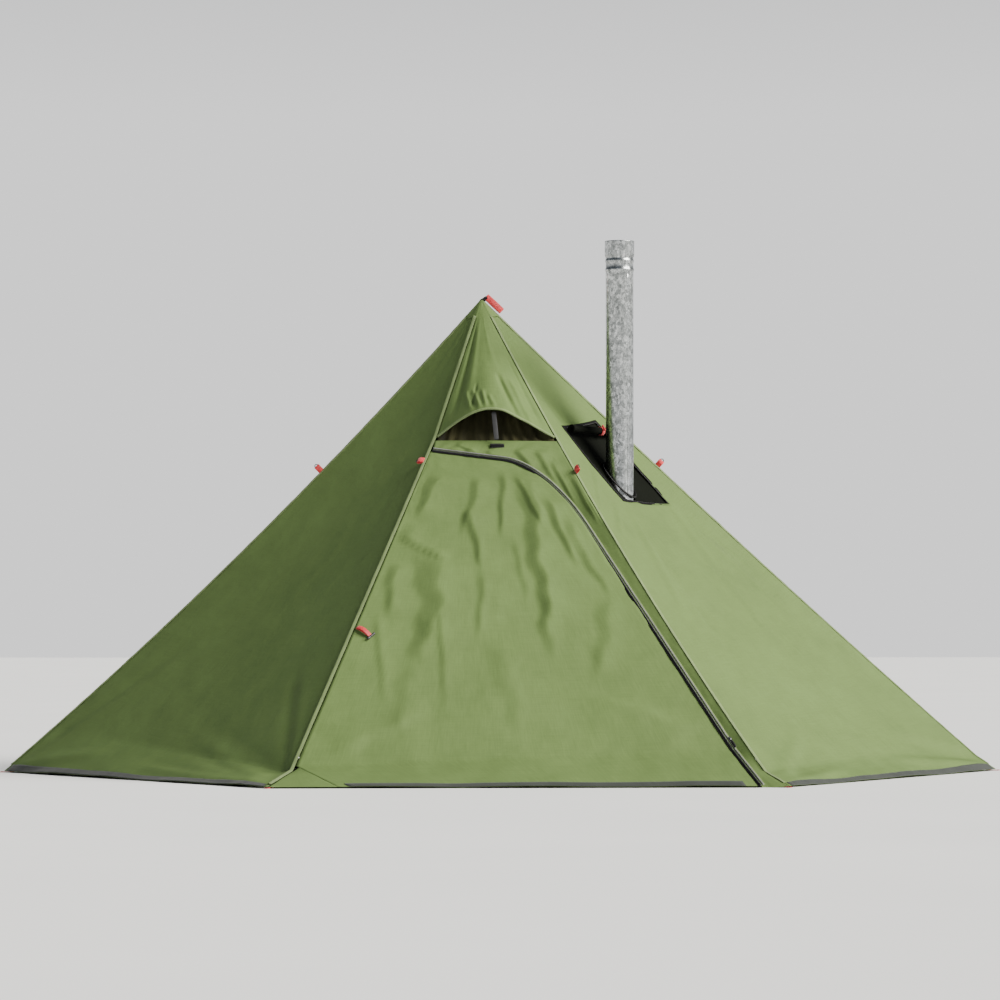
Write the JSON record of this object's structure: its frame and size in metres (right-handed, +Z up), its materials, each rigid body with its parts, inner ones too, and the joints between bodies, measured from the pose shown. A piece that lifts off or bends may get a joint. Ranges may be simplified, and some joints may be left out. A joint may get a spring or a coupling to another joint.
{
  "type": "teepee tent",
  "caption": "Six-sided single-pole tent with a hooded vent, a zipped door flap, red webbing loops and a stove pipe through a fireproof outlet.",
  "frame": {"origin": "on the ground, midway between the left and right corners and between the front and back hems", "axes": "+X to the right as seen from in front of the door, -Y out of the door, +Z up"},
  "size_m": [3.223, 2.7938, 1.69],
  "materials": {
    "canopy_fabric": "matte",
    "vent_mesh": "matte",
    "black_plastic": "satin",
    "zip_coil": "satin",
    "grey_piping": "matte",
    "hem_binding": "matte",
    "seam_tape": "matte",
    "red_webbing": "satin",
    "fireproof_cloth": "matte",
    "black_binding": "matte",
    "galvanised_steel": "satin",
    "black_rubber": "matte",
    "pole_aluminium": "satin",
    "zip_metal": "satin"
  },
  "bodies": {
    "canopy": {"panel_right_back": "canopy_fabric", "panel_back": "canopy_fabric", "panel_left_back": "canopy_fabric", "panel_left_front": "canopy_fabric", "panel_right_front": "canopy_fabric", "vent_hood": "canopy_fabric", "vent_net": "vent_mesh", "front_surround": "canopy_fabric", "corner_gusset": "canopy_fabric", "zip_tape_frame": "grey_piping", "hem_tape_right_back": "hem_binding", "hem_tape_back": "hem_binding", "hem_tape_left_back": "hem_binding", "hem_tape_left_front": "hem_binding", "hem_tape_right_front": "hem_binding", "ridge_tape_right": "seam_tape", "ridge_tape_back_right": "seam_tape", "ridge_tape_back_left": "seam_tape", "ridge_tape_left": "seam_tape", "ridge_tape_front_left": "seam_tape", "ridge_tape_front_right": "seam_tape", "crown_patch": "canopy_fabric", "guy_loop_right": "red_webbing", "peg_loop_right": "red_webbing", "guy_loop_back_right": "red_webbing", "peg_loop_back_right": "red_webbing", "guy_loop_back_left": "red_webbing", "peg_loop_back_left": "red_webbing", "guy_loop_left": "red_webbing", "peg_loop_left": "red_webbing", "guy_loop_front_left": "red_webbing", "peg_loop_front_left": "red_webbing", "guy_loop_front_right": "red_webbing", "peg_loop_front_right": "red_webbing", "stove_jack": "fireproof_cloth", "stove_jack_binding": "black_binding", "pole_foot": "black_rubber", "pole_lower": "pole_aluminium", "pole_clamp": "black_plastic", "vent_tab": "black_binding"},
    "door": {"door_flap": "canopy_fabric", "zip_tape_door": "zip_coil", "hem_tape_door": "hem_binding"},
    "door_tie": {"door_tie_strap": "red_webbing", "door_tie_toggle": "black_plastic"},
    "zip_slider": {"zip_slider": "zip_metal"},
    "zip_pull": {"zip_pull": "black_binding"},
    "vent_prop": {"vent_prop": "black_plastic"},
    "jack_flap": {"jack_flap_roll": "fireproof_cloth", "jack_flap_tie": "red_webbing", "jack_flap_toggle": "red_webbing"},
    "hang_loop": {"hang_loop": "red_webbing"},
    "pole_upper": {"pole_upper": "pole_aluminium", "pole_tip": "black_rubber"},
    "pole_lever": {"pole_clamp_lever": "black_plastic"},
    "flue_lower": {"flue_lower": "galvanised_steel"},
    "flue_upper": {"flue_upper": "galvanised_steel"}
  },
  "joints": [
    {"name": "door_hinge", "type": "hinge", "parent": "canopy", "child": "door", "pos_m": [-0.25088, -0.36868, 1.01037], "axis": [-0.3122, -0.6364, -0.7054], "range_deg": [0, 150]},
    {"name": "door_tie_swing", "type": "hinge", "parent": "door", "child": "door_tie", "pos_m": [-0.48501, -0.86848, 0.46103], "axis": [-0.3122, -0.6364, -0.7054], "range_deg": [0, 50]},
    {"name": "zip_travel", "type": "slide", "parent": "canopy", "child": "zip_slider", "axis": [-0.3864, 0.6282, 0.6753], "range_m": [0, 0.94]},
    {"name": "zip_pull_flip", "type": "hinge", "parent": "zip_slider", "child": "zip_pull", "pos_m": [0.60145, -1.20658, 0.13489], "axis": [-0.9223, -0.2606, -0.2854], "range_deg": [0, 150]},
    {"name": "vent_prop_fold", "type": "hinge", "parent": "canopy", "child": "vent_prop", "pos_m": [-0.05019, -0.38847, 1.13921], "axis": [-1, 0, 0], "range_deg": [0, 110]},
    {"name": "jack_flap_rock", "type": "hinge", "parent": "canopy", "child": "jack_flap", "pos_m": [0.18943, -0.24015, 1.08172], "axis": [0.6272, 0.7788, -0.013], "range_deg": [-20, 0]},
    {"name": "hang_loop_flop", "type": "hinge", "parent": "canopy", "child": "hang_loop", "pos_m": [-0.056, 0, 1.531], "axis": [0, 1, 0], "range_deg": [-130, 0]},
    {"name": "pole_telescope", "type": "slide", "parent": "canopy", "child": "pole_upper", "axis": [0, 0, -1], "range_m": [0, 0.6]},
    {"name": "pole_lever_open", "type": "hinge", "parent": "canopy", "child": "pole_lever", "pos_m": [-0.041, 0, 0.824], "axis": [0, -1, 0], "range_deg": [0, 110]},
    {"name": "flue_lift", "type": "slide", "parent": "canopy", "child": "flue_lower", "axis": [0, 0, 1], "range_m": [0, 0.9]},
    {"name": "flue_upper_pull", "type": "slide", "parent": "flue_lower", "child": "flue_upper", "axis": [0, 0, 1], "range_m": [0, 0.5]}
  ]
}
